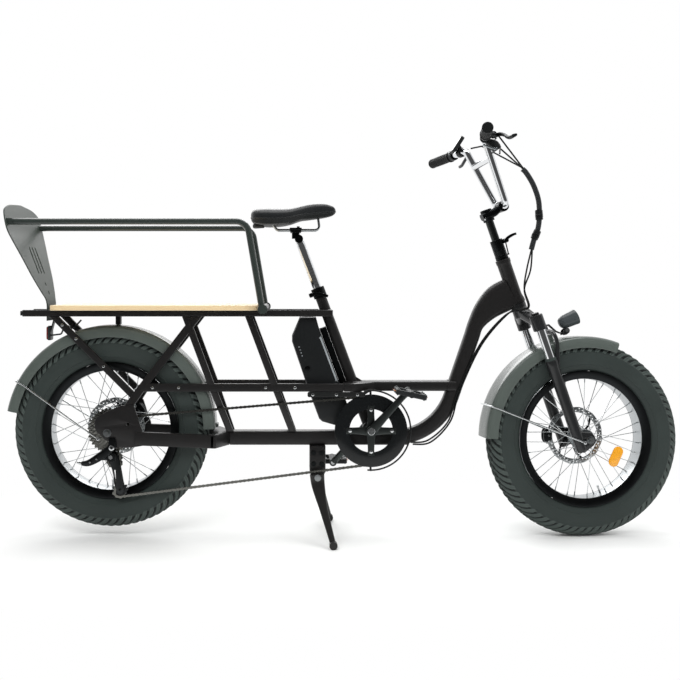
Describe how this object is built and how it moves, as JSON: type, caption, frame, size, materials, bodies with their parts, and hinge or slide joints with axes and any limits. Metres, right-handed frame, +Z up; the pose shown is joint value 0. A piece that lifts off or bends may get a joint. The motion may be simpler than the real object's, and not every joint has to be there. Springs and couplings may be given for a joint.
{
  "type": "longtail cargo bike",
  "caption": "Electric longtail cargo bike: long rear rack with wooden deck, hand rails, backrest, sprung fork, hub motor, chain drive, battery, folding stand and telescoping mast.",
  "frame": {"origin": "centre of the bike's footprint on the ground", "axes": "+X forward, +Y to the bike's left, +Z up"},
  "size_m": [2.0808, 0.6644, 1.2629],
  "materials": {
    "satin_black": "satin",
    "gloss_black": "gloss",
    "rubber": "matte",
    "soft_grip": "matte",
    "plywood": "matte",
    "chrome": "polished",
    "brushed_aluminium": "brushed",
    "black_aluminium": "satin",
    "battery_black": "satin",
    "chain_steel": "satin",
    "saddle_black": "matte",
    "amber": "gloss",
    "lamp_grey": "gloss"
  },
  "bodies": {
    "frame": {"frame_front": "satin_black", "frame_rack": "satin_black", "frame_side_left": "satin_black", "frame_side_right": "satin_black", "frame_stays": "satin_black", "deck": "plywood", "rail_left": "gloss_black", "rail_right": "gloss_black", "backrest": "gloss_black", "rear_light": "lamp_grey", "rear_fender": "gloss_black", "rear_fender_stay": "chrome", "battery_rail": "black_aluminium", "kickstand_bracket": "black_aluminium", "chain_guard": "black_aluminium", "rear_caliper": "black_aluminium", "derailleur": "black_aluminium", "seat_collar": "black_aluminium", "chain": "chain_steel", "cable_bundle": "battery_black"},
    "steerer": {"fork_crown": "satin_black", "mast_collar": "black_aluminium"},
    "mast_lever": {"mast_lever": "black_aluminium"},
    "cockpit": {"mast": "brushed_aluminium", "stem": "black_aluminium", "handlebar": "chrome", "grip_left": "soft_grip", "grip_right": "soft_grip", "brake_left": "black_aluminium", "brake_right": "black_aluminium", "shifter": "black_aluminium", "display": "battery_black"},
    "brake_lever_left": {"brake_lever_left": "black_aluminium"},
    "brake_lever_right": {"brake_lever_right": "black_aluminium"},
    "shift_lever": {"shift_lever": "chrome"},
    "fork_lower": {"fork_lowers": "black_aluminium", "front_fender": "gloss_black", "front_fender_stay": "chrome", "front_caliper": "black_aluminium", "headlight_bracket": "black_aluminium"},
    "headlight": {"headlight": "lamp_grey"},
    "front_wheel": {"front_wheel": "brushed_aluminium", "front_tyre": "rubber", "spoke_reflector": "amber"},
    "rear_wheel": {"rear_wheel": "brushed_aluminium", "rear_tyre": "rubber"},
    "cassette": {"cassette": "chain_steel"},
    "crank": {"crankset": "black_aluminium", "crank_left": "black_aluminium"},
    "pedal_right": {"pedal_right": "battery_black"},
    "pedal_left": {"pedal_left": "battery_black"},
    "derailleur_cage": {"derailleur_cage": "black_aluminium"},
    "pulley_upper": {"pulley_upper": "battery_black"},
    "pulley_lower": {"pulley_lower": "battery_black"},
    "kickstand": {"kickstand": "black_aluminium"},
    "seat": {"seatpost": "chrome", "saddle_rails": "black_aluminium", "saddle": "saddle_black"},
    "seat_lever": {"seat_lever": "black_aluminium"},
    "battery": {"battery": "battery_black"}
  },
  "joints": [
    {"name": "steering", "type": "hinge", "parent": "frame", "child": "steerer", "pos_m": [0.54338, 0, 0.722], "axis": [-0.3256, 0, 0.9455], "range_deg": [-51, 39], "deforming": ["cable_bundle"]},
    {"name": "mast_height", "type": "slide", "parent": "steerer", "child": "cockpit", "axis": [-0.3256, 0, 0.9455], "range_m": [-0.04, 0.08], "deforming": ["cable_bundle"]},
    {"name": "mast_lever_turn", "type": "hinge", "parent": "steerer", "child": "mast_lever", "pos_m": [0.50496, 0.00282, 0.91606], "axis": [-0.0988, 0.9945, -0.034], "range_deg": [-90, 0]},
    {"name": "brake_lever_left_pull", "type": "hinge", "parent": "cockpit", "child": "brake_lever_left", "pos_m": [0.41051, 0.16431, 1.20816], "axis": [-0.3256, 0, 0.9455], "range_deg": [0, 16], "stiffness_Nm_per_rad": 2, "springref_deg": -2.86},
    {"name": "brake_lever_right_pull", "type": "hinge", "parent": "cockpit", "child": "brake_lever_right", "pos_m": [0.44214, -0.15393, 1.21905], "axis": [-0.3256, 0, 0.9455], "range_deg": [-16, 0], "stiffness_Nm_per_rad": 2, "springref_deg": 2.86},
    {"name": "shift_lever_turn", "type": "hinge", "parent": "cockpit", "child": "shift_lever", "pos_m": [0.44478, -0.12878, 1.18235], "axis": [-0.0988, 0.9945, -0.034], "range_deg": [-15, 8]},
    {"name": "fork_travel", "type": "slide", "parent": "steerer", "child": "fork_lower", "axis": [-0.3256, 0, 0.9455], "range_m": [0, 0.045], "stiffness_N_per_m": 9000, "springref_m": -0.05},
    {"name": "front_wheel_spin", "type": "hinge", "parent": "fork_lower", "child": "front_wheel", "pos_m": [0.74268, 0.00543, 0.30203], "axis": [-0.0988, 0.9945, -0.034], "continuous": true},
    {"name": "headlight_tilt", "type": "hinge", "parent": "fork_lower", "child": "headlight", "pos_m": [0.69699, 0.01233, 0.63634], "axis": [-0.0988, 0.9945, -0.034], "range_deg": [-10, 12]},
    {"name": "rear_wheel_spin", "type": "hinge", "parent": "frame", "child": "rear_wheel", "pos_m": [-0.718, 0, 0.33], "axis": [0, 1, 0], "continuous": true},
    {"name": "crank_spin", "type": "hinge", "parent": "frame", "child": "crank", "pos_m": [0.082, 0, 0.333], "axis": [0, 1, 0], "continuous": true, "deforming": ["chain"]},
    {"name": "cassette_spin", "type": "hinge", "parent": "frame", "child": "cassette", "pos_m": [-0.718, 0, 0.33], "axis": [0, 1, 0], "continuous": true},
    {"name": "pedal_right_spin", "type": "hinge", "parent": "crank", "child": "pedal_right", "pos_m": [0.19241, -0.085, 0.45562], "axis": [0, 1, 0], "continuous": true},
    {"name": "pedal_left_spin", "type": "hinge", "parent": "crank", "child": "pedal_left", "pos_m": [-0.02841, 0.0825, 0.21038], "axis": [0, 1, 0], "continuous": true},
    {"name": "derailleur_swing", "type": "hinge", "parent": "frame", "child": "derailleur_cage", "pos_m": [-0.708, -0.062, 0.256], "axis": [0, 1, 0], "range_deg": [-15, 20], "stiffness_Nm_per_rad": 1.2, "deforming": ["chain"]},
    {"name": "pulley_upper_spin", "type": "hinge", "parent": "derailleur_cage", "child": "pulley_upper", "pos_m": [-0.7, -0.062, 0.243], "axis": [0, 1, 0], "continuous": true},
    {"name": "pulley_lower_spin", "type": "hinge", "parent": "derailleur_cage", "child": "pulley_lower", "pos_m": [-0.684, -0.062, 0.153], "axis": [0, 1, 0], "continuous": true},
    {"name": "kickstand_fold", "type": "hinge", "parent": "frame", "child": "kickstand", "pos_m": [-0.081, 0, 0.192], "axis": [0, 1, 0], "range_deg": [0, 70]},
    {"name": "seat_height", "type": "slide", "parent": "frame", "child": "seat", "axis": [-0.3502, 0, 0.9367], "range_m": [-0.12, 0.05]},
    {"name": "seat_lever_turn", "type": "hinge", "parent": "frame", "child": "seat_lever", "pos_m": [-0.09955, 0, 0.74575], "axis": [0, 1, 0], "range_deg": [-110, 0]},
    {"name": "battery_slide", "type": "slide", "parent": "frame", "child": "battery", "axis": [-0.3502, 0, 0.9367], "range_m": [0, 0.04]}
  ],
  "couplings": [
    {"joint": "cassette_spin", "follows": "crank_spin", "ratio": 2.6},
    {"joint": "pulley_lower_spin", "follows": "crank_spin", "ratio": 4.7273},
    {"joint": "pulley_upper_spin", "follows": "crank_spin", "ratio": -4.7273}
  ]
}
